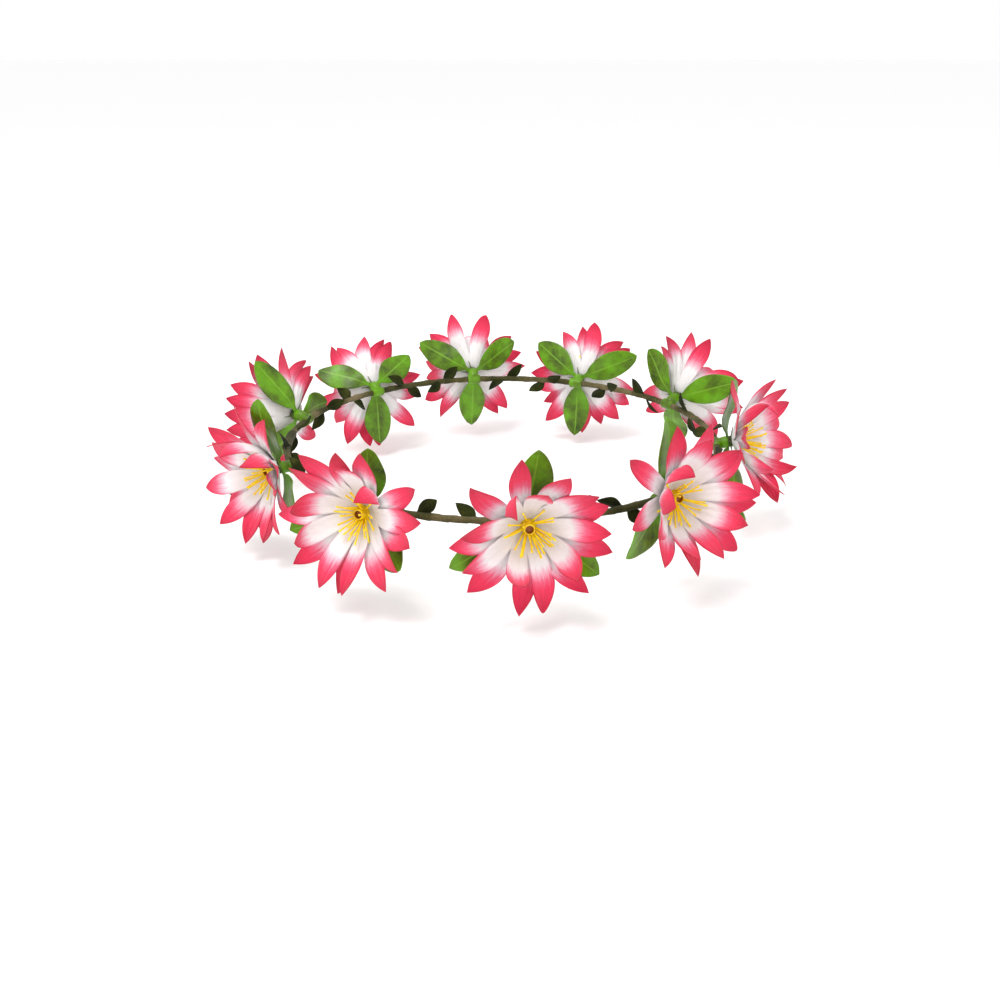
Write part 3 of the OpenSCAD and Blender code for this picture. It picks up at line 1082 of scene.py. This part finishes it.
# %% Trim material
velvet = Finish("trim_velvet", 0.85, Specular_IOR_Level=0.1, Sheen_Weight=0.08, Sheen_Roughness=0.4)
velvet_place = velvet.object_place(1)
pile = velvet.add("TexNoise", Vector=velvet_place, Scale=1500, Detail=4, Roughness=0.7).outputs[0]
bruise = velvet.add("TexNoise", Vector=velvet_place, Scale=120, Detail=3).outputs[0]
velvet_tone = velvet.ramp(bruise, [
    (0.35, swatch(26, 32, 8)), (0.6, swatch(48, 54, 16)), (0.8, swatch(78, 82, 34)),
])
velvet.colour(velvet.blend("MULTIPLY", 0.5, velvet_tone, velvet.ramp(
    pile, [(0.3, swatch(130, 130, 120)), (0.7, swatch(255, 255, 250))])))
velvet.bump(pile, 0.6, 0.2 * MM)
print("trim finish:", velvet.material.name)

# %% Find the blades in the frame
SPRIG_GAP = math.radians(3)
BAND_REACH = 2.1 * MM
BLADE_REACH = 12 * MM


def blades_of(node):
    """(middle of the band, tip) of each blade in a trim node, in metres."""
    points = np.array([vertex.co[:] for vertex in frame["nodes"][node].data.vertices])
    azimuth = np.arctan2(points[:, 0], -points[:, 1])
    ring = np.stack([np.sin(azimuth), -np.cos(azimuth), 0 * azimuth], axis=1) * HOOP_RADIUS
    bands = np.linalg.norm(points - ring, axis=1) < BAND_REACH
    turns = np.sort(azimuth[bands] % math.tau)
    groups = np.split(turns, np.nonzero(np.diff(turns) > SPRIG_GAP)[0] + 1)
    if len(groups) > 1 and turns[0] + math.tau - turns[-1] < SPRIG_GAP:
        groups[0] = np.concatenate([groups.pop() - math.tau, groups[0]])
    blades = []
    for group in groups:
        centre = (group.min() + group.max()) / 2
        root = Vector((math.sin(centre), -math.cos(centre), 0)) * HOOP_RADIUS
        along = points @ np.array([math.cos(centre), math.sin(centre), 0])
        near = np.linalg.norm(points - np.array(root), axis=1) < BLADE_REACH
        for sense in (1, -1):
            blades.append((root, Vector(points[np.argmax(np.where(near, sense * along, -1))])))
    return blades


# %% One trim leaf
TRIM_LONG = 10
TRIM_STALK = 0.14
TRIM_THICK = 0.4


def trim_half_width(share):
    """Half the width of a trim leaf: a thin stalk, then a blade that is widest before its middle."""
    blade = max(0, (share - TRIM_STALK) / (1 - TRIM_STALK))
    return 0.35 + 2.25 * math.sin(math.pi * blade ** 0.85) ** 0.85 - 0.32 * share


trim_shares = (0.08, 0.16, 0.26, 0.38, 0.5, 0.62, 0.74, 0.86, 0.95, 1)
trim_master = grow_leaf(TRIM_LONG, [(share, trim_half_width(share)) for share in trim_shares])
cupped = points_of(trim_master)
cupped[:, 2] = 0.16 * cupped[:, 1] ** 2 - 0.012 * cupped[:, 0] ** 2 - 0.2 * (np.abs(cupped[:, 1]) < 0.1)
set_points(trim_master, cupped)
finish_with(trim_master, [
    ("SOLIDIFY", {"thickness": TRIM_THICK, "offset": 0}), ("SUBSURF", {"levels": 1, "render_levels": 1}),
])
pick_only(trim_master)
bpy.ops.object.shade_smooth()
print("trim leaf:", len(trim_master.data.polygons), "faces")

# %% Trim on the hoop
for node in ("trim_leaves_front", "trim_leaves_left", "trim_leaves_back", "trim_leaves_right"):
    chance = random.Random(node)
    parts = []
    for root, tip in blades_of(node):
        reach = tip - root
        ahead = reach.normalized()
        outwards = root.normalized()
        side = ahead.cross(outwards if abs(ahead.dot(outwards)) < 0.9 else Vector((0, 0, 1)))
        side = Matrix.Rotation(chance.gauss(0, 0.5), 3, ahead) @ side.normalized()
        leaf = copy_of(trim_master, "trim_part")
        put(leaf, basis(ahead, side, ahead.cross(side), root) @ Matrix.Scale(reach.length / TRIM_LONG, 4))
        parts.append(leaf)
    foliage = join(parts, node.replace("leaves", "foliage"))
    foliage.data.materials.append(velvet.material)
    settle(foliage, "hoop", "trim_leaf", node)
    print(node, "blades:", len(parts))
drop(trim_master)
